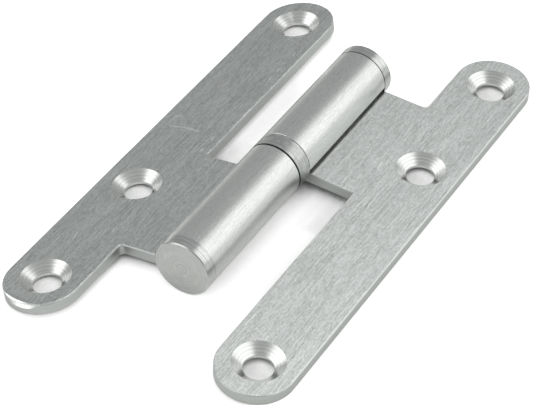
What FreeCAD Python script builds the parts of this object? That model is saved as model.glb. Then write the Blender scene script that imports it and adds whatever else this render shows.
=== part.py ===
import FreeCAD, Part
import math
import os

# Lift-off butt hinge of stainless steel, lying open with its countersunk faces up.
# Millimetres. +Y runs along the pin, +X towards the right leaf, +Z up, table at Z = 0.

# Leaves
leaf_length = 142.0             # over the rounded ends
leaf_reach = 40.5               # from the pin's axis to a leaf's outer edge
leaf_thickness = 3.0            # sheet of the leaf and of its rolled knuckle
strip_width = 20.0              # the screwed strip, fully rounded at both ends
inner_corner_radius = 0.7       # between strip and tab, beside the bearing ring
outer_corner_radius = 1.3       # between strip and tab, beside the end cap
edge_round = 0.2                # blanked edges on the countersunk side
shut_gap = 2.4                  # between the leaves when the hinge is shut

# Screw holes
end_hole_inset = 11.0           # from a leaf's end to the middle of its end hole
middle_hole_offset = 20.0       # from the leaf's middle towards its knuckle
screw_hole_diameter = 7.6
countersink_diameter = 13.0
countersink_angle = 100.0

# Barrel
barrel_diameter = 15.5
knuckle_length = 39.5
lip_gap = 1.1                   # open seam between the rolled lip and the leaf
bend_radius = 2.0               # where the sheet turns down under the barrel
mouth_bevel = 0.3               # at both mouths of a knuckle's bore
rim_bevel = 0.1                 # round the outside of a knuckle, beside the bearing ring

# Bearing ring between the knuckles
ring_thickness = 4.75
ring_bevel = 0.1
ring_near_gap = 0.35            # to the near knuckle, open where the leaf has slid along the pin
ring_far_gap = 0.10             # to the far knuckle

# Pin and end caps
cap_flange = 3.4
cap_bevel = 0.25
far_seam_gap = 0.2              # left open under the far cap, the near cap is pressed home
spigot_length = 6.0
spigot_lead = 0.5
pin_seat_gap = 0.1              # from the fixed end of the pin to its cap's spigot
pin_tip_room = 3.0              # from the free end of the pin to the other cap's spigot
pin_tip_lead = 1.2
press_clearance = 0.02          # radial, drawn where a piece is pressed in
running_clearance = 0.05        # radial, where a piece turns on the pin

# Sizes that follow
leaf_top = -shut_gap / 2
leaf_back = leaf_top - leaf_thickness
strip_inner = leaf_reach - strip_width
strip_middle = leaf_reach - strip_width / 2
end_radius = strip_width / 2
end_centre = leaf_length / 2 - end_radius
end_hole = leaf_length / 2 - end_hole_inset
barrel_radius = barrel_diameter / 2
bore_radius = barrel_radius - leaf_thickness
knuckle_start = (ring_near_gap + ring_thickness + ring_far_gap) / 2
knuckle_end = knuckle_start + knuckle_length
ring_start = -knuckle_start + ring_near_gap
shank_radius = bore_radius - press_clearance
journal_radius = bore_radius - running_clearance
spigot_end = knuckle_end - spigot_length
pin_start = -spigot_end + pin_seat_gap
pin_end = spigot_end - pin_tip_room

# The open hinge rests on its barrel and on the outer edges of both leaves, which sets their tilt.
foot_radius = math.hypot(leaf_reach, leaf_back)
leaf_tilt = math.asin(barrel_radius / foot_radius) - math.atan2(-leaf_back, leaf_reach)

origin = FreeCAD.Vector(0, 0, 0)
along_pin = FreeCAD.Vector(0, 1, 0)
upward = FreeCAD.Vector(0, 0, 1)
pin_height = FreeCAD.Vector(0, 0, barrel_radius)
tolerance = 1e-4


def across(x, z):
    """A point in the plane across the pin."""
    return FreeCAD.Vector(x, 0, z)


def on_circle(radius, z):
    """The point at height z on the right side of a circle about the pin."""
    return across(math.sqrt(radius ** 2 - z ** 2), z)


def turned(outline):
    """A piece turned about the pin, from points of radius and place along the pin."""
    points = [FreeCAD.Vector(radius, y, 0) for radius, y in outline]
    face = Part.Face(Part.makePolygon(points + points[:1]))
    return face.revolve(origin, along_pin, 360)


def knuckle_section():
    """The rolled knuckle and its tab across the pin: the sheet turns down from the leaf,
    runs round the bore and ends in a lip above the leaf."""
    lip = leaf_top + lip_gap
    lip_outer = on_circle(barrel_radius, lip)
    lip_inner = on_circle(bore_radius, lip)
    bore_edge = on_circle(bore_radius, leaf_top)
    bend_centre = on_circle(barrel_radius + bend_radius, leaf_back - bend_radius)
    bend_start = bend_centre * (barrel_radius / (barrel_radius + bend_radius))
    bend_end = across(bend_centre.x, leaf_back)
    bend_side = (bend_start - bend_centre) + (bend_end - bend_centre)
    bend_middle = bend_centre + bend_side.normalize() * bend_radius
    tab_back = across(strip_middle, leaf_back)
    tab_top = across(strip_middle, leaf_top)
    edges = [
        Part.Arc(lip_outer, across(-barrel_radius, 0), bend_start).toShape(),
        Part.Arc(bend_start, bend_middle, bend_end).toShape(),
        Part.LineSegment(bend_end, tab_back).toShape(),
        Part.LineSegment(tab_back, tab_top).toShape(),
        Part.LineSegment(tab_top, bore_edge).toShape(),
        Part.Arc(bore_edge, across(-bore_radius, 0), lip_inner).toShape(),
        Part.LineSegment(lip_inner, lip_outer).toShape(),
    ]
    return Part.Face(Part.Wire(edges))


def strip():
    """The screwed strip of a leaf, with fully rounded ends."""
    inner_near = FreeCAD.Vector(strip_inner, -end_centre, leaf_back)
    inner_far = FreeCAD.Vector(strip_inner, end_centre, leaf_back)
    outer_near = FreeCAD.Vector(leaf_reach, -end_centre, leaf_back)
    outer_far = FreeCAD.Vector(leaf_reach, end_centre, leaf_back)
    near_tip = FreeCAD.Vector(strip_middle, -leaf_length / 2, leaf_back)
    far_tip = FreeCAD.Vector(strip_middle, leaf_length / 2, leaf_back)
    edges = [
        Part.LineSegment(inner_far, inner_near).toShape(),
        Part.Arc(inner_near, near_tip, outer_near).toShape(),
        Part.LineSegment(outer_near, outer_far).toShape(),
        Part.Arc(outer_far, far_tip, inner_far).toShape(),
    ]
    return Part.Face(Part.Wire(edges)).extrude(upward * leaf_thickness)


def countersunk_hole(y):
    """The tool for one screw hole: a cone from the top face into a plain hole."""
    hole_radius = screw_hole_diameter / 2
    sink_radius = countersink_diameter / 2
    slope = math.tan(math.radians(countersink_angle / 2))
    sink_depth = (sink_radius - hole_radius) / slope
    above = FreeCAD.Vector(strip_middle, y, leaf_top + leaf_thickness)
    plain = Part.makeCylinder(hole_radius, 3 * leaf_thickness, above, -upward)
    wide_radius = sink_radius + leaf_thickness * slope
    cone = Part.makeCone(wide_radius, hole_radius, leaf_thickness + sink_depth, above, -upward)
    return plain.fuse(cone)


def bore_mouth(y, inward):
    """The tool for the bevel at one mouth of a knuckle's bore."""
    mouth = FreeCAD.Vector(0, y, 0)
    return Part.makeCone(bore_radius + mouth_bevel, bore_radius, mouth_bevel, mouth, along_pin * inward)


def ring_side_rim():
    """The tool for the bevel round a knuckle beside the bearing ring, from the lip over the top
    to the underside."""
    rim = turned([
        (barrel_radius - rim_bevel, knuckle_start),
        (barrel_radius + rim_bevel, knuckle_start),
        (barrel_radius + rim_bevel, knuckle_start + 2 * rim_bevel),
    ])
    corner = FreeCAD.Vector(0, knuckle_start - barrel_radius, leaf_top - barrel_diameter)
    beside_leaf = Part.makeBox(barrel_diameter, barrel_diameter, barrel_diameter, corner)
    return rim.cut(beside_leaf)


def edge_points(edge):
    """Both ends and the middle of an edge."""
    first, last = edge.ParameterRange
    return [edge.valueAt(place) for place in (first, (first + last) / 2, last)]


def is_notch_corner(edge, y):
    """True for the upright edge where one end of the tab, at y, meets the strip."""
    points = edge_points(edge)
    upright = abs(points[0].z - points[2].z) > leaf_thickness / 2
    at_strip = all(abs(point.x - strip_inner) < tolerance for point in points)
    return upright and at_strip and abs(points[1].y - y) < tolerance


def is_top_edge(edge):
    """True for the edges of the leaf's outline on its countersunk side."""
    points = edge_points(edge)
    on_top = all(abs(point.z - leaf_top) < tolerance for point in points)
    beside_strip = min(point.x for point in points) > strip_inner - outer_corner_radius - tolerance
    middle = (knuckle_start + knuckle_end) / 2
    at_tab_end = all(abs(abs(point.y - middle) - knuckle_length / 2) < tolerance for point in points)
    return on_top and (beside_strip or at_tab_end)


def leaf():
    """One leaf lying flat towards +X, with its pin along Y through the origin."""
    knuckle = knuckle_section().extrude(along_pin * knuckle_length)
    knuckle.translate(along_pin * knuckle_start)
    plate = strip().fuse(knuckle).removeSplitter()
    for y, radius in ((knuckle_start, inner_corner_radius), (knuckle_end, outer_corner_radius)):
        plate = plate.makeFillet(radius, [edge for edge in plate.Edges if is_notch_corner(edge, y)])
    plate = plate.makeFillet(edge_round, [edge for edge in plate.Edges if is_top_edge(edge)])
    holes = [countersunk_hole(y) for y in (-end_hole, middle_hole_offset, end_hole)]
    mouths = [bore_mouth(knuckle_start, 1), bore_mouth(knuckle_end, -1)]
    return plate.cut(holes + mouths + [ring_side_rim()])


def right_leaf():
    """The far knuckle's leaf, tilted down to the table."""
    piece = leaf()
    piece.rotate(origin, along_pin, math.degrees(leaf_tilt))
    return piece


def left_leaf():
    """The same leaf turned half a turn in plan, so that its knuckle is the near one."""
    piece = right_leaf()
    piece.rotate(origin, upward, 180)
    return piece


def hinge_pin():
    """Pin with a pressed shank in the near knuckle and a running journal in the far one."""
    return turned([
        (0, pin_start),
        (shank_radius - pin_tip_lead / 2, pin_start),
        (shank_radius, pin_start + pin_tip_lead / 2),
        (shank_radius, -knuckle_start),
        (journal_radius, -knuckle_start),
        (journal_radius, pin_end - pin_tip_lead),
        (journal_radius - pin_tip_lead, pin_end),
        (0, pin_end),
    ])


def bearing_ring():
    """Ring that carries the far knuckle, flush with the barrel."""
    ring_end = ring_start + ring_thickness
    ring_bore = journal_radius + running_clearance
    return turned([
        (ring_bore, ring_start),
        (barrel_radius - ring_bevel, ring_start),
        (barrel_radius, ring_start + ring_bevel),
        (barrel_radius, ring_end - ring_bevel),
        (barrel_radius - ring_bevel, ring_end),
        (ring_bore, ring_end),
    ])


def end_cap():
    """Turned cap flush with the barrel, its spigot pressed home into the far knuckle."""
    spigot_radius = bore_radius - press_clearance
    cap_end = knuckle_end + cap_flange
    return turned([
        (0, spigot_end),
        (spigot_radius - spigot_lead, spigot_end),
        (spigot_radius, spigot_end + spigot_lead),
        (spigot_radius, knuckle_end),
        (barrel_radius, knuckle_end),
        (barrel_radius, cap_end - cap_bevel),
        (barrel_radius - cap_bevel, cap_end),
        (0, cap_end),
    ])


def far_end_cap():
    """The cap of the far knuckle, which leaves its seam a little open."""
    piece = end_cap()
    piece.translate(along_pin * far_seam_gap)
    return piece


def near_end_cap():
    """The same cap, turned half a turn into the near knuckle."""
    piece = end_cap()
    piece.rotate(origin, upward, 180)
    return piece


os.makedirs("parts", exist_ok=True)
for piece in (left_leaf, right_leaf, hinge_pin, bearing_ring, near_end_cap, far_end_cap):
    shape = piece()
    shape.translate(pin_height)
    shape.exportStep("parts/" + piece.__name__ + ".step")
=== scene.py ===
import math

import bpy
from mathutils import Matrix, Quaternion, Vector


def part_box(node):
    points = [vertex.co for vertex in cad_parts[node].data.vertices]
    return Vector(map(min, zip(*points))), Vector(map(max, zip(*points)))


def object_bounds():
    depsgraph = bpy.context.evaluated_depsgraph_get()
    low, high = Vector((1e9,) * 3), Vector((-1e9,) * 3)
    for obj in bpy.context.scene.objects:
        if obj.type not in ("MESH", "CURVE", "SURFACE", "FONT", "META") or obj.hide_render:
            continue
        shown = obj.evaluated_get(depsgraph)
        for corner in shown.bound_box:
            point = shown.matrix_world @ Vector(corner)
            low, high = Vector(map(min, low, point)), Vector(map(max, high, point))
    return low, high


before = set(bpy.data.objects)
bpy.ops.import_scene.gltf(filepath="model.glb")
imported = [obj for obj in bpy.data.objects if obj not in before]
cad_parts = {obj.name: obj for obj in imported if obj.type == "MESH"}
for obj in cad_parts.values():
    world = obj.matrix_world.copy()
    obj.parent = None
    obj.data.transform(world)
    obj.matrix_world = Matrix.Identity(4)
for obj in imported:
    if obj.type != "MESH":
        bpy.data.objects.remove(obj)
cad_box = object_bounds()

# Left leaf, the fixed one.
# Stainless sheet, blanked to shape, brushed along its length and countersunk for three screws.
# Its tab is rolled into the near knuckle, which is pressed onto the pin.
MM = 0.001

# Sizes in the leaf's own frame: X outwards from the pin's axis, Y along it and Z up from it.
pin_low, pin_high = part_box("hinge_pin")
pin_height = (pin_low.z + pin_high.z) / 2
leaf_tilt = math.radians(5.05)
leaf_top = -1.2 * MM
leaf_back = -4.2 * MM
strip_half = 10 * MM
end_middle = 61 * MM
edge_round = 0.2 * MM
knuckle_radius = 7.75 * MM
hole_reach = 30.5 * MM
hole_places = (60 * MM, 20 * MM, -60 * MM)
countersink_radius = 6.5 * MM
edge_margin = 0.05 * MM


def colour(code):
    """Linear colour of an sRGB hex code."""
    parts = [int(code[i:i + 2], 16) / 255 for i in (1, 3, 5)]
    linear = [p / 12.92 if p <= 0.04045 else ((p + 0.055) / 1.055) ** 2.4 for p in parts]
    return (*linear, 1.0)


def add_node(tree, kind, settings=None, links=None):
    """Adds a node, with its own settings or socket values, and links that feed its sockets."""
    made = tree.nodes.new(kind)
    for key, value in (settings or {}).items():
        if isinstance(key, str) and hasattr(made, key):
            setattr(made, key, value)
        else:
            made.inputs[key].default_value = value
    for key, source in (links or {}).items():
        tree.links.new(source, made.inputs[key])
    return made


def new_material(name):
    """An empty node material, and the tree it is built in."""
    material = bpy.data.materials.new(name)
    material.use_nodes = True
    material.node_tree.nodes.clear()
    return material, material.node_tree


# Brushed stainless sheet: the belt leaves fine strokes along the leaf, about 0.1 mm wide, drawn
# twice as coarse so that they show at this size. Long strokes are broken by short ones, and broad
# clouds show where the belt pressed more or less. Each mark has a width, a length and a share.
# The sheen is narrow across the strokes, and the rolled knuckle is smoother than the flat.
stroke_width = 0.22 * MM
cloud_width = 2.4 * MM
belt_marks = (
    (stroke_width, 9 * MM, 0.5),
    (stroke_width, 2.4 * MM, 0.5),
    (stroke_width, 0.6 * MM, 0.8),
    (cloud_width, 22 * MM, 0.2),
)
stroke_detail = 2.0
stroke_spread = 0.31
stroke_depth = 0.004 * MM
sheet_sheen = 0.8
sheet_light = colour("#EBEDEB")
sheet_dark = colour("#A1A4A2")
sheet_roughness = (0.30, 0.40)
knuckle_light = colour("#E0E1DF")
knuckle_dark = colour("#C4C6C4")
knuckle_roughness = 0.27

# Countersinks: cut by a turning tool, so they carry fine rings and a brighter, sharper sheen.
# The rings' depth is a share of the strokes' depth.
cut_pitch = 0.35 * MM
cut_range = (0.3, 0.7)
cut_depth = 0.06
countersink_light = colour("#DEDFDD")
countersink_dark = colour("#D2D3D1")
countersink_roughness = 0.23

# Blanked edges: the punch rolls the top of the edge over, rubs the part below it smooth and tears
# the lower part, which stays rougher. A wavering line parts the two. The rolled top is painted
# lighter,
# a painted highlight: a thin line along the outer side and, on the left leaf, the near tip, which
# is rolled much more than the rest.
edge_roll = 0.18 * MM
outer_edge = hole_reach + strip_half - edge_round
outer_roll = 0.12 * MM
outer_slope = 0.7
outer_highlight_share = 0.4
corner_heading = math.radians(86)
corner_start = 71.0 * MM
corner_full = 72.7 * MM
corner_share = 0.6
corner_slope = 0.6
# Painted highlight: the rolled top of the edges is painted in this lighter colour.
rolled_highlight_steel = colour("#E9EBE9")
rolled_roughness = 0.24
shear_height = leaf_top - 1.9 * MM
shear_waver = 1.3 * MM
shear_fade = 0.1 * MM
waver_length = 2.2 * MM
waver_detail = 3.0
rubbed_steel = colour("#BBBEBC")
# The torn part is rougher, and its colour is lighter than the rubbed part's: a painted reflection
# of the floor on the lower edge.
torn_and_floor_lit_steel = colour("#C4C6C3")
rubbed_roughness = 0.30
torn_roughness = 0.45

# Scratches: bare, brighter metal, each from one place of the leaf to another, and small
# specks strewn over the flat.
speck_size = 0.5 * MM
speck_range = (0.70, 0.80)
speck_share = 0.6
scratch_steel = colour("#ECEFED")
scratch_roughness = 0.45


def brushed_sheet(name, heading, scratches, corner_roll):
    """Brushed stainless for one leaf. Heading is the leaf's turn about the upright axis, scratches
    are its own, and corner_roll is how far down the tip of the leaf is rolled over."""
    material, tree = new_material(name)
    place = add_node(tree, "ShaderNodeTexCoord")
    leaf = add_node(tree, "ShaderNodeMapping",
                    {"vector_type": "TEXTURE", "Location": (0, 0, pin_height),
                     "Rotation": (0, leaf_tilt, heading)}, {"Vector": place.outputs["Object"]})
    part = add_node(tree, "ShaderNodeSeparateXYZ", {}, {0: leaf.outputs[0]})

    # The belt's marks, each a noise drawn out along the leaf, added up by their shares.
    tone = None
    for width, length, share in belt_marks:
        mark_place = add_node(tree, "ShaderNodeMapping",
                              {"Scale": (1 / width, 1 / length, 1 / width)},
                              {"Vector": leaf.outputs[0]})
        marks = add_node(tree, "ShaderNodeTexNoise", {"Scale": 1.0, "Detail": stroke_detail},
                         {"Vector": mark_place.outputs[0]})
        added = add_node(tree, "ShaderNodeMath", {"operation": "MULTIPLY_ADD", 1: share, 2: 0.0},
                         {0: marks.outputs[0]})
        if tone is not None:
            tree.links.new(tone, added.inputs[2])
        tone = added.outputs[0]
    middle = sum(share for width, length, share in belt_marks) / 2
    brushed = add_node(tree, "ShaderNodeMapRange",
                       {"From Min": middle - stroke_spread, "From Max": middle + stroke_spread},
                       {"Value": tone})

    # The knuckle lies within its radius of the pin, the countersinks within theirs of a screw,
    # and the blanked edges between the leaf's two faces.
    off_pin = add_node(tree, "ShaderNodeVectorMath", {"operation": "MULTIPLY", 1: (1, 0, 1)},
                       {0: leaf.outputs[0]})
    pin_distance = add_node(tree, "ShaderNodeVectorMath", {"operation": "LENGTH"},
                            {0: off_pin.outputs[0]})
    knuckle = add_node(tree, "ShaderNodeMath",
                       {"operation": "LESS_THAN", 1: knuckle_radius + edge_margin},
                       {0: pin_distance.outputs["Value"]})
    in_plane = add_node(tree, "ShaderNodeVectorMath", {"operation": "MULTIPLY", 1: (1, 1, 0)},
                        {0: leaf.outputs[0]})
    nearest = None
    for hole_place in hole_places:
        reach = add_node(tree, "ShaderNodeVectorMath",
                         {"operation": "DISTANCE", 1: (hole_reach, hole_place, 0)},
                         {0: in_plane.outputs[0]}).outputs["Value"]
        if nearest is not None:
            reach = add_node(tree, "ShaderNodeMath", {"operation": "MINIMUM"},
                             {0: reach, 1: nearest}).outputs[0]
        nearest = reach
    within = add_node(tree, "ShaderNodeMath",
                      {"operation": "LESS_THAN", 1: countersink_radius + edge_margin},
                      {0: nearest})
    above = add_node(tree, "ShaderNodeMath",
                     {"operation": "GREATER_THAN", 1: leaf_back + edge_margin},
                     {0: part.outputs["Z"]})
    countersink = add_node(tree, "ShaderNodeMath", {"operation": "MULTIPLY"},
                           {0: within.outputs[0], 1: above.outputs[0]})
    below = add_node(tree, "ShaderNodeMath",
                     {"operation": "LESS_THAN", 1: leaf_top - edge_round},
                     {0: part.outputs["Z"]})
    between = add_node(tree, "ShaderNodeMath", {"operation": "MULTIPLY"},
                       {0: above.outputs[0], 1: below.outputs[0]})
    blank_edge = add_node(tree, "ShaderNodeMath", {"operation": "SUBTRACT", "use_clamp": True},
                          {0: between.outputs[0], 1: knuckle.outputs[0]})
    cut_place = add_node(tree, "ShaderNodeMath", {"operation": "DIVIDE", 1: cut_pitch},
                         {0: nearest})
    rings = add_node(tree, "ShaderNodeTexNoise",
                     {"noise_dimensions": "1D", "Scale": 1.0, "Detail": 1.0},
                     {"W": cut_place.outputs[0]})
    ring_tone = add_node(tree, "ShaderNodeMapRange",
                         {"From Min": cut_range[0], "From Max": cut_range[1]},
                         {"Value": rings.outputs[0]})

    # The rolled top of the blanked edges: how far it reaches down the edge, and how far in from
    # the leaf's outline at the tip that is rolled most and along the outer side.
    corner_place = add_node(tree, "ShaderNodeVectorMath",
                            {"operation": "DOT_PRODUCT",
                             1: (math.cos(corner_heading), math.sin(corner_heading), 0)},
                            {0: leaf.outputs[0]})
    corner = add_node(tree, "ShaderNodeMapRange",
                      {"interpolation_type": "SMOOTHSTEP", "From Min": corner_start,
                       "From Max": corner_full, "To Max": corner_roll},
                      {"Value": corner_place.outputs["Value"]})
    roll = add_node(tree, "ShaderNodeMath", {"operation": "MAXIMUM", 1: edge_roll},
                    {0: corner.outputs[0]})
    depth = add_node(tree, "ShaderNodeMath", {"operation": "SUBTRACT", 0: leaf_top - edge_round},
                     {1: part.outputs["Z"]})
    down = add_node(tree, "ShaderNodeMath", {"operation": "MAXIMUM", 1: 0.0},
                    {0: depth.outputs[0]})
    rolled_down = add_node(tree, "ShaderNodeMath", {"operation": "MINIMUM"},
                           {0: down.outputs[0], 1: roll.outputs[0]})
    beyond = add_node(tree, "ShaderNodeMath", {"operation": "SUBTRACT", 1: end_middle},
                      {0: part.outputs["Y"]})
    beyond_end = add_node(tree, "ShaderNodeMath", {"operation": "MAXIMUM", 1: 0.0},
                          {0: beyond.outputs[0]})
    aside = add_node(tree, "ShaderNodeMath", {"operation": "SUBTRACT", 1: hole_reach},
                     {0: part.outputs["X"]})
    off_strip = add_node(tree, "ShaderNodeCombineXYZ", {},
                         {"X": aside.outputs[0], "Y": beyond_end.outputs[0]})
    off_middle = add_node(tree, "ShaderNodeVectorMath", {"operation": "LENGTH"},
                          {0: off_strip.outputs[0]})
    inside = add_node(tree, "ShaderNodeMath",
                      {"operation": "SUBTRACT", 0: strip_half - edge_round},
                      {1: off_middle.outputs["Value"]})
    on_strip = add_node(tree, "ShaderNodeMath", {"operation": "MAXIMUM", 1: 0.0},
                        {0: inside.outputs[0]})
    corner_in = add_node(tree, "ShaderNodeMath", {"operation": "MULTIPLY", 1: corner_share},
                         {0: corner.outputs[0]})
    rolled_in = add_node(tree, "ShaderNodeMath", {"operation": "MINIMUM"},
                         {0: on_strip.outputs[0], 1: corner_in.outputs[0]})
    from_side = add_node(tree, "ShaderNodeMath", {"operation": "SUBTRACT", 0: outer_edge},
                         {1: part.outputs["X"]})
    rolled_side = add_node(tree, "ShaderNodeClamp", {"Max": outer_roll},
                           {0: from_side.outputs[0]})
    # Where the rolled top is painted lighter, a painted highlight: the rolled tip, and at a share
    # the outer side.
    high = add_node(tree, "ShaderNodeMath", {"operation": "LESS_THAN"},
                    {0: down.outputs[0], 1: corner.outputs[0]})
    near_outline = add_node(tree, "ShaderNodeMath", {"operation": "LESS_THAN"},
                            {0: on_strip.outputs[0], 1: corner_in.outputs[0]})
    corner_rolled = add_node(tree, "ShaderNodeMath", {"operation": "MULTIPLY"},
                             {0: high.outputs[0], 1: near_outline.outputs[0]})
    near_side = add_node(tree, "ShaderNodeMath", {"operation": "LESS_THAN", 1: outer_roll},
                         {0: from_side.outputs[0]})
    side_rolled = add_node(tree, "ShaderNodeMath", {"operation": "SUBTRACT", "use_clamp": True},
                           {0: near_side.outputs[0], 1: below.outputs[0]})
    side_highlight = add_node(tree, "ShaderNodeMath", {"operation": "MULTIPLY", 1: outer_highlight_share},
                          {0: side_rolled.outputs[0]})
    rolled_top_and_highlight = add_node(tree, "ShaderNodeMath", {"operation": "MAXIMUM"},
                          {0: corner_rolled.outputs[0], 1: side_highlight.outputs[0]})

    # The line between the rubbed and the torn part of a blanked edge.
    waver_place = add_node(tree, "ShaderNodeMapping", {"Scale": (1 / waver_length,) * 3},
                           {"Vector": in_plane.outputs[0]})
    waver = add_node(tree, "ShaderNodeTexNoise", {"Scale": 1.0, "Detail": waver_detail},
                     {"Vector": waver_place.outputs[0]})
    shear_place = add_node(tree, "ShaderNodeMath", {"operation": "MULTIPLY_ADD", 1: shear_waver},
                           {0: waver.outputs[0], 2: part.outputs["Z"]})
    torn = add_node(tree, "ShaderNodeMapRange",
                    {"From Min": shear_height + shear_waver / 2 - shear_fade,
                     "From Max": shear_height + shear_waver / 2 + shear_fade,
                     "To Min": 1.0, "To Max": 0.0}, {"Value": shear_place.outputs[0]})

    # Specks, and scratches, each a short thin line on the top face that fades across its width.
    speck_place = add_node(tree, "ShaderNodeMapping", {"Scale": (1 / speck_size,) * 3},
                           {"Vector": in_plane.outputs[0]})
    speck_noise = add_node(tree, "ShaderNodeTexNoise", {"Scale": 1.0, "Detail": 0.0},
                           {"Vector": speck_place.outputs[0]})
    scratched = add_node(tree, "ShaderNodeMapRange",
                         {"From Min": speck_range[0], "From Max": speck_range[1],
                          "To Max": speck_share}, {"Value": speck_noise.outputs[0]}).outputs[0]
    for start, end, width in scratches:
        run = Vector(end) - Vector(start)
        offset = add_node(tree, "ShaderNodeVectorMath",
                          {"operation": "SUBTRACT", 1: Vector(start).to_3d() * MM},
                          {0: in_plane.outputs[0]})
        share = add_node(tree, "ShaderNodeVectorMath",
                         {"operation": "DOT_PRODUCT", 1: run.to_3d() / run.length_squared / MM},
                         {0: offset.outputs[0]})
        held = add_node(tree, "ShaderNodeClamp", {}, {0: share.outputs["Value"]})
        along = add_node(tree, "ShaderNodeVectorMath",
                         {"operation": "SCALE", 0: run.to_3d() * MM}, {"Scale": held.outputs[0]})
        away = add_node(tree, "ShaderNodeVectorMath", {"operation": "DISTANCE"},
                        {0: offset.outputs[0], 1: along.outputs[0]})
        mark = add_node(tree, "ShaderNodeMapRange",
                        {"From Min": 0.0, "From Max": width * MM, "To Min": 1.0, "To Max": 0.0},
                        {"Value": away.outputs["Value"]})
        scratched = add_node(tree, "ShaderNodeMath", {"operation": "MAXIMUM"},
                             {0: mark.outputs[0], 1: scratched}).outputs[0]
    on_face = add_node(tree, "ShaderNodeMath", {"operation": "SUBTRACT", "use_clamp": True},
                       {0: scratched, 1: below.outputs[0]})

    # Colour of the flat, then of its scratches, the knuckle, the blanked edges, the painted
    # highlight on their rolled tops, and the countersinks.
    flat = add_node(tree, "ShaderNodeMix", {"data_type": "RGBA", 6: sheet_dark, 7: sheet_light},
                    {0: brushed.outputs[0]})
    marked = add_node(tree, "ShaderNodeMix", {"data_type": "RGBA", 7: scratch_steel},
                      {0: on_face.outputs[0], 6: flat.outputs[2]})
    rolled = add_node(tree, "ShaderNodeMix",
                      {"data_type": "RGBA", 6: knuckle_dark, 7: knuckle_light},
                      {0: brushed.outputs[0]})
    sheet = add_node(tree, "ShaderNodeMix", {"data_type": "RGBA"},
                     {0: knuckle.outputs[0], 6: marked.outputs[2], 7: rolled.outputs[2]})
    sheared = add_node(tree, "ShaderNodeMix",
                       {"data_type": "RGBA", 6: rubbed_steel, 7: torn_and_floor_lit_steel},
                       {0: torn.outputs[0]})
    flat_blank = add_node(tree, "ShaderNodeMix", {"data_type": "RGBA"},
                          {0: blank_edge.outputs[0], 6: sheet.outputs[2], 7: sheared.outputs[2]})
    # Painted highlight on the rolled tops.
    blank = add_node(tree, "ShaderNodeMix", {"data_type": "RGBA", 7: rolled_highlight_steel},
                     {0: rolled_top_and_highlight.outputs[0], 6: flat_blank.outputs[2]})
    cut = add_node(tree, "ShaderNodeMix",
                   {"data_type": "RGBA", 6: countersink_dark, 7: countersink_light},
                   {0: ring_tone.outputs[0]})
    base = add_node(tree, "ShaderNodeMix", {"data_type": "RGBA"},
                    {0: countersink.outputs[0], 6: blank.outputs[2], 7: cut.outputs[2]})

    # Roughness in the same order.
    flat_rough = add_node(tree, "ShaderNodeMapRange",
                          {"To Min": sheet_roughness[0], "To Max": sheet_roughness[1]},
                          {"Value": brushed.outputs[0]})
    marked_rough = add_node(tree, "ShaderNodeMix", {3: scratch_roughness},
                            {0: on_face.outputs[0], 2: flat_rough.outputs[0]})
    sheet_rough = add_node(tree, "ShaderNodeMix", {3: knuckle_roughness},
                           {0: knuckle.outputs[0], 2: marked_rough.outputs[0]})
    sheared_rough = add_node(tree, "ShaderNodeMix", {2: rubbed_roughness, 3: torn_roughness},
                             {0: torn.outputs[0]})
    flat_blank_rough = add_node(tree, "ShaderNodeMix", {},
                                {0: blank_edge.outputs[0], 2: sheet_rough.outputs[0],
                                 3: sheared_rough.outputs[0]})
    blank_rough = add_node(tree, "ShaderNodeMix", {3: rolled_roughness},
                           {0: rolled_top_and_highlight.outputs[0], 2: flat_blank_rough.outputs[0]})
    rough = add_node(tree, "ShaderNodeMix", {3: countersink_roughness},
                     {0: countersink.outputs[0], 2: blank_rough.outputs[0]})

    # The sheen is drawn out along the flat and the edges, and around the knuckle and the
    # countersinks.
    round_pin = add_node(tree, "ShaderNodeMix",
                         {"data_type": "VECTOR", 4: (1, 0, 0), 5: (0, 1, 0)},
                         {0: knuckle.outputs[0]})
    upright = add_node(tree, "ShaderNodeMath", {"operation": "MAXIMUM"},
                       {0: countersink.outputs[0], 1: blank_edge.outputs[0]})
    round_hole = add_node(tree, "ShaderNodeMix", {"data_type": "VECTOR", 5: (0, 0, 1)},
                          {0: upright.outputs[0], 4: round_pin.outputs[1]})
    drawn = add_node(tree, "ShaderNodeVectorMath", {"operation": "CROSS_PRODUCT"},
                     {0: place.outputs["Normal"], 1: round_hole.outputs[1]})
    sheen = add_node(tree, "ShaderNodeVectorTransform",
                     {"vector_type": "VECTOR", "convert_from": "OBJECT", "convert_to": "WORLD"},
                     {0: drawn.outputs[0]})

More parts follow.
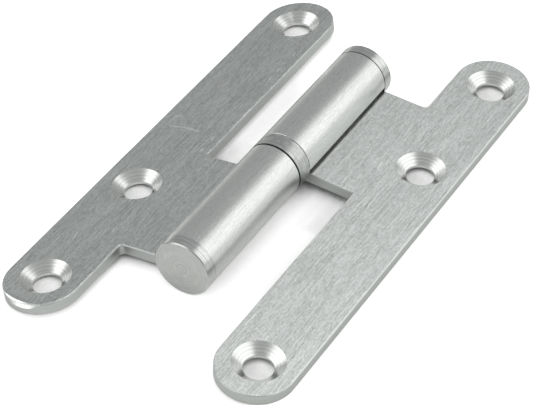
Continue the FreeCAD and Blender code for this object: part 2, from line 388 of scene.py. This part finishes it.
    # Relief of the strokes, the countersinks' rings and the rolled top of the blanked edges.
    shallow = add_node(tree, "ShaderNodeMath", {"operation": "MULTIPLY", 1: cut_depth},
                       {0: rings.outputs[0]})
    strokes = add_node(tree, "ShaderNodeMix", {3: middle}, {0: rolled_top_and_highlight.outputs[0], 2: tone})
    relief = add_node(tree, "ShaderNodeMix", {},
                      {0: countersink.outputs[0], 2: strokes.outputs[0], 3: shallow.outputs[0]})
    grain = add_node(tree, "ShaderNodeBump", {"Strength": 1.0, "Distance": stroke_depth},
                     {"Height": relief.outputs[0]})
    rolled_tip = add_node(tree, "ShaderNodeMath", {"operation": "MULTIPLY_ADD", 1: corner_slope},
                          {0: rolled_in.outputs[0], 2: rolled_down.outputs[0]})
    rolled_over = add_node(tree, "ShaderNodeMath", {"operation": "MULTIPLY_ADD", 1: outer_slope},
                           {0: rolled_side.outputs[0], 2: rolled_tip.outputs[0]})
    other = add_node(tree, "ShaderNodeMath", {"operation": "MAXIMUM"},
                     {0: countersink.outputs[0], 1: knuckle.outputs[0]})
    edge_relief = add_node(tree, "ShaderNodeMix", {3: 0.0},
                           {0: other.outputs[0], 2: rolled_over.outputs[0]})
    bump = add_node(tree, "ShaderNodeBump", {"Strength": 1.0, "Distance": 1.0},
                    {"Height": edge_relief.outputs[0], "Normal": grain.outputs[0]})
    steel = add_node(tree, "ShaderNodeBsdfPrincipled",
                     {"Metallic": 1.0, "Anisotropic": sheet_sheen},
                     {"Base Color": base.outputs[2], "Roughness": rough.outputs[0],
                      "Normal": bump.outputs[0], "Tangent": sheen.outputs[0]})
    add_node(tree, "ShaderNodeOutputMaterial", {}, {"Surface": steel.outputs[0]})
    return material


# Places on the leaf in mm, from the pin outwards and along it, with the scratch's width.
left_scratches = (
    ((36.5, -4.7), (32.4, -5.6), 0.3),
    ((32.4, -5.6), (28.0, -5.6), 0.4),
    ((37.5, -9.0), (36.2, -9.8), 0.45),
    ((22.8, 1.7), (22.9, 0.5), 0.5),
    ((22.8, -3.6), (22.9, -4.8), 0.4),
    ((33.1, 42.7), (32.7, 45.2), 0.35),
    ((25.1, 38.8), (25.1, 38.0), 0.4),
    ((23.1, -37.4), (23.2, -38.9), 0.4),
    ((23.1, -33.3), (23.3, -34.6), 0.35),
    ((23.0, -45.8), (23.2, -47.3), 0.35),
)
left_corner_roll = 1.15 * MM
left_heading = math.pi
left_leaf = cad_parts["left_leaf"]
left_leaf.material_slots[0].material = brushed_sheet(
    "brushed_stainless_left", left_heading, left_scratches, left_corner_roll)

# Right leaf, the one that swings and lifts off.
# The same blank as the left leaf turned end for end, brushed on the same belt.
# Its knuckle runs on the far half of the pin.
right_scratches = (
    ((21.2, 14.1), (21.0, 16.5), 0.4),
    ((21.8, -52.0), (22.0, -47.5), 0.25),
)
right_corner_roll = 0.0
right_heading = 0.0
right_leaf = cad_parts["right_leaf"]
right_leaf.material_slots[0].material = brushed_sheet(
    "brushed_stainless_right", right_heading, right_scratches, right_corner_roll)

# Hinge pin, ground steel bar pressed into the near knuckle.
# Grinding leaves fine rings around it, too fine to see, so they are drawn coarser.
turned_pitch = 0.4 * MM
turned_detail = 2.0
turned_grain = 0.6
turned_range = (0.25, 0.75)
turned_depth = 0.002 * MM
turned_sheen = 0.6
smudge_size = 1.8 * MM
smudge_detail = 4.0
smudge_grain = 0.65
smudge_range = (0.35, 0.65)
end_facing = 0.9
# Painted shade: a dark band along an open seam stands in for the shade in the gap between the
# parts.
painted_seam_shade = colour("#2E2F2E")
seam_width = 0.11 * MM


def turned_steel(name, side, face, roughness, smudge, seam=None):
    """Steel worked in a lathe or grinder: rings around the pin, on its sides and its end faces.
    Side and face are dark and light colours, smudge is how far handling marks darken the side.
    Seam is the place along the pin of an open seam, where a dark band is painted shade of the gap."""
    material, tree = new_material(name)
    place = add_node(tree, "ShaderNodeTexCoord")
    centred = add_node(tree, "ShaderNodeMapping",
                       {"vector_type": "TEXTURE", "Location": (0, 0, pin_height)},
                       {"Vector": place.outputs["Object"]})
    part = add_node(tree, "ShaderNodeSeparateXYZ", {}, {0: centred.outputs[0]})
    off_pin = add_node(tree, "ShaderNodeVectorMath", {"operation": "MULTIPLY", 1: (1, 0, 1)},
                       {0: centred.outputs[0]})
    radius = add_node(tree, "ShaderNodeVectorMath", {"operation": "LENGTH"},
                      {0: off_pin.outputs[0]})
    reach = add_node(tree, "ShaderNodeMath", {"operation": "ADD"},
                     {0: radius.outputs["Value"], 1: part.outputs["Y"]})
    ring_place = add_node(tree, "ShaderNodeMath", {"operation": "DIVIDE", 1: turned_pitch},
                          {0: reach.outputs[0]})
    rings = add_node(tree, "ShaderNodeTexNoise",
                     {"noise_dimensions": "1D", "Scale": 1.0, "Detail": turned_detail,
                      "Roughness": turned_grain}, {"W": ring_place.outputs[0]})
    ring_tone = add_node(tree, "ShaderNodeMapRange",
                         {"From Min": turned_range[0], "From Max": turned_range[1]},
                         {"Value": rings.outputs[0]})
    smudge_place = add_node(tree, "ShaderNodeMapping", {"Scale": (1 / smudge_size,) * 3},
                            {"Vector": centred.outputs[0]})
    smudges = add_node(tree, "ShaderNodeTexNoise",
                       {"Scale": 1.0, "Detail": smudge_detail, "Roughness": smudge_grain},
                       {"Vector": smudge_place.outputs[0]})
    handled = add_node(tree, "ShaderNodeMapRange",
                       {"From Min": smudge_range[0], "From Max": smudge_range[1],
                        "To Min": 1.0 - smudge, "To Max": 1.0}, {"Value": smudges.outputs[0]})
    facing = add_node(tree, "ShaderNodeSeparateXYZ", {}, {0: place.outputs["Normal"]})
    facing_end = add_node(tree, "ShaderNodeMath", {"operation": "ABSOLUTE"},
                          {0: facing.outputs["Y"]})
    at_end = add_node(tree, "ShaderNodeMath", {"operation": "GREATER_THAN", 1: end_facing},
                      {0: facing_end.outputs[0]})
    side_tone = add_node(tree, "ShaderNodeMath", {"operation": "MULTIPLY"},
                         {0: ring_tone.outputs[0], 1: handled.outputs[0]})
    side_base = add_node(tree, "ShaderNodeMix",
                         {"data_type": "RGBA", 6: colour(side[0]), 7: colour(side[1])},
                         {0: side_tone.outputs[0]})
    face_tone = add_node(tree, "ShaderNodeMath", {"operation": "MULTIPLY"},
                         {0: ring_tone.outputs[0], 1: smudges.outputs[0]})
    face_base = add_node(tree, "ShaderNodeMix",
                         {"data_type": "RGBA", 6: colour(face[0]), 7: colour(face[1])},
                         {0: face_tone.outputs[0]})
    base = add_node(tree, "ShaderNodeMix", {"data_type": "RGBA"},
                    {0: at_end.outputs[0], 6: side_base.outputs[2], 7: face_base.outputs[2]})
    # Painted shade of the open seam's gap, as a dark band.
    if seam is not None:
        in_seam = add_node(tree, "ShaderNodeMath",
                           {"operation": "COMPARE", 1: seam, 2: seam_width},
                           {0: part.outputs["Y"]})
        base = add_node(tree, "ShaderNodeMix", {"data_type": "RGBA", 7: painted_seam_shade},
                        {0: in_seam.outputs[0], 6: base.outputs[2]})
    bump = add_node(tree, "ShaderNodeBump", {"Strength": 1.0, "Distance": turned_depth},
                    {"Height": rings.outputs[0]})
    around = add_node(tree, "ShaderNodeVectorMath", {"operation": "CROSS_PRODUCT", 1: (0, 1, 0)},
                      {0: centred.outputs[0]})
    sheen = add_node(tree, "ShaderNodeVectorTransform",
                     {"vector_type": "VECTOR", "convert_from": "OBJECT", "convert_to": "WORLD"},
                     {0: around.outputs[0]})
    steel = add_node(tree, "ShaderNodeBsdfPrincipled",
                     {"Metallic": 1.0, "Anisotropic": turned_sheen, "Roughness": roughness},
                     {"Base Color": base.outputs[2], "Normal": bump.outputs[0],
                      "Tangent": sheen.outputs[0]})
    add_node(tree, "ShaderNodeOutputMaterial", {}, {"Surface": steel.outputs[0]})
    return material


hinge_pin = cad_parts["hinge_pin"]
hinge_pin.material_slots[0].material = turned_steel(
    "ground_steel", side=("#C6C6C4", "#D4D4D2"), face=("#BCBCBA", "#CCCCCA"),
    roughness=0.22, smudge=0.0)

# Bearing ring, turned from stainless bar.
# It is loose on the pin between the two knuckles and takes the wear of the swinging leaf. A dark
# band along the open seam at its near side is painted shade of the gap.
ring_near_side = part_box("bearing_ring")[0].y
bearing_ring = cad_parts["bearing_ring"]
bearing_ring.material_slots[0].material = turned_steel(
    "turned_stainless_ring", side=("#A4A6A4", "#E2E3E1"), face=("#A3A5A3", "#C9CAC8"),
    roughness=0.33, smudge=0.85, seam=ring_near_side)

# Near end cap, turned from stainless bar and pressed into the near knuckle.
# The lathe tool leaves shallow rings on its flat end, which is duller than its side. Only the far
# cap's seam is open, and a dark band along it is painted shade of the gap.
cap_flange = 3.4 * MM
far_cap_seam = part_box("far_end_cap")[1].y - cap_flange
cap_steel = turned_steel(
    "turned_stainless_cap", side=("#B4B6B4", "#E0E1DF"), face=("#B2B3B1", "#E0E1DE"),
    roughness=0.23, smudge=0.6, seam=far_cap_seam)
near_end_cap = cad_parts["near_end_cap"]
near_end_cap.material_slots[0].material = cap_steel

# Far end cap, the same as the near one, pressed into the knuckle of the right leaf.
# It closes the knuckle beyond the pin's tip.
far_end_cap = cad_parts["far_end_cap"]
far_end_cap.material_slots[0].material = cap_steel

# Floor, a sheet of white studio paper.
# It glows white where it lies open to one side or another, seen by the camera and, weaker, in
# reflections. The glow fades in the screw holes, at the foot of the edges and under the hinge,
# which paints shade there; the paper's own shading adds to it.
floor_size = 12.0
shade_reach = 15 * MM
shade_range = (0.81, 0.88)
floor_lift = 0.60
# Each side is a way along the floor, X and Y, with its share of the lift to white.
open_sides = ((1, 0, 0.55), (0.45, -0.89, 1.0), (-0.6, -0.8, 1.0), (-1, 0, 1.0), (0, 1, 1.0))
reflected_share = 0.32
paper_white = colour("#E2E2E1")

bpy.ops.object.select_all(action="DESELECT")
bpy.ops.mesh.primitive_plane_add(size=floor_size, location=(0, 0, cad_box[0].z))
floor = bpy.context.object
floor.name = "paper_floor"
paper, paper_tree = new_material("white_paper")
widest = None
for side_x, side_y, side_share in open_sides:
    side = add_node(paper_tree, "ShaderNodeCombineXYZ", {"X": side_x, "Y": side_y})
    openness = add_node(paper_tree, "ShaderNodeAmbientOcclusion", {"Distance": shade_reach},
                        {"Normal": side.outputs[0]})
    lift = add_node(paper_tree, "ShaderNodeMapRange",
                    {"From Min": shade_range[0], "From Max": shade_range[1],
                     "To Max": floor_lift * side_share},
                    {"Value": openness.outputs["AO"]}).outputs[0]
    if widest is not None:
        lift = add_node(paper_tree, "ShaderNodeMath", {"operation": "MAXIMUM"},
                        {0: lift, 1: widest}).outputs[0]
    widest = lift
ray = add_node(paper_tree, "ShaderNodeLightPath")
mirrored = add_node(paper_tree, "ShaderNodeMath", {"operation": "MULTIPLY", 1: reflected_share},
                    {0: ray.outputs["Is Glossy Ray"]})
seen = add_node(paper_tree, "ShaderNodeMath", {"operation": "MAXIMUM"},
                {0: ray.outputs["Is Camera Ray"], 1: mirrored.outputs[0]})
seen_clear = add_node(paper_tree, "ShaderNodeMath", {"operation": "MAXIMUM"},
                      {0: seen.outputs[0], 1: ray.outputs["Is Transmission Ray"]})
# Painted light: the floor glows, and the glow's fading where the floor is enclosed is painted
# shade.
glow = add_node(paper_tree, "ShaderNodeMath", {"operation": "MULTIPLY"},
                {0: widest, 1: seen_clear.outputs[0]})
shade = add_node(paper_tree, "ShaderNodeBsdfDiffuse", {"Color": paper_white})
light = add_node(paper_tree, "ShaderNodeEmission", {"Color": colour("#FFFFFF")},
                 {"Strength": glow.outputs[0]})
both = add_node(paper_tree, "ShaderNodeAddShader", {},
                {0: shade.outputs[0], 1: light.outputs[0]})
add_node(paper_tree, "ShaderNodeOutputMaterial", {}, {"Surface": both.outputs[0]})
floor.data.materials.append(paper)

# Studio light: three soft boxes around the hinge and a grey room.
# One stands low at the right and behind, one at the front left, one hangs overhead.
box_distance = 1.4
# Each box has its place in degrees, around from +Y and up, half its width and half its height in
# degrees as the hinge sees it, and its brightness, where 1 is white.
soft_boxes = (
    ("right_back_box", 70, 30.6, 37, 24.3, 1.05),
    ("front_left_box", -126, 37, 41, 13.5, 1.24),
    ("overhead_box", 4, 79.5, 17.1, 16.6, 2.35),
)
for name, azimuth, elevation, half_width, half_height, brightness in soft_boxes:
    around = math.radians(azimuth)
    above = math.radians(elevation)
    towards = Vector((math.sin(around) * math.cos(above), math.cos(around) * math.cos(above),
                      math.sin(above)))
    panel = bpy.data.lights.new(name, "AREA")
    panel.shape = "RECTANGLE"
    panel.size = 2 * box_distance * math.tan(math.radians(half_width))
    panel.size_y = 2 * box_distance * math.tan(math.radians(half_height))
    panel.energy = math.pi * panel.size * panel.size_y * brightness
    soft_box = bpy.data.objects.new(name, panel)
    soft_box.location = towards * box_distance
    soft_box.rotation_euler = (-towards).to_track_quat("-Z", "Y").to_euler()
    soft_box.visible_camera = False
    bpy.context.scene.collection.objects.link(soft_box)

room_tint = colour("#FCFFFE")
room_brightness = 0.445
room = bpy.data.worlds.new("grey_room")
room.use_nodes = True
room_light = room.node_tree.nodes["Background"]
room_light.inputs["Color"].default_value = room_tint
room_light.inputs["Strength"].default_value = room_brightness
bpy.context.scene.world = room
bpy.context.scene.view_settings.view_transform = "Standard"

# Camera, at the photograph's place.
# It is about half a metre away, high and to the right of the near end, and leans a little.
camera_place = Vector((220.32, -350.44, 343.26)) * MM
camera_target = Vector((0.10, -6.62, 0)) * MM
camera_roll = math.radians(-2.5)
sensor_width = 36
lens_length = 141.75
camera_data = bpy.data.cameras.new("photo_camera")
camera_data.sensor_width = sensor_width
camera_data.sensor_fit = "HORIZONTAL"
camera_data.lens = lens_length
camera = bpy.data.objects.new("photo_camera", camera_data)
camera.location = camera_place
aim = (camera_target - camera_place).to_track_quat("-Z", "Y")
camera.rotation_euler = (aim @ Quaternion((0, 0, 1), camera_roll)).to_euler()
bpy.context.scene.collection.objects.link(camera)
bpy.context.scene.camera = camera
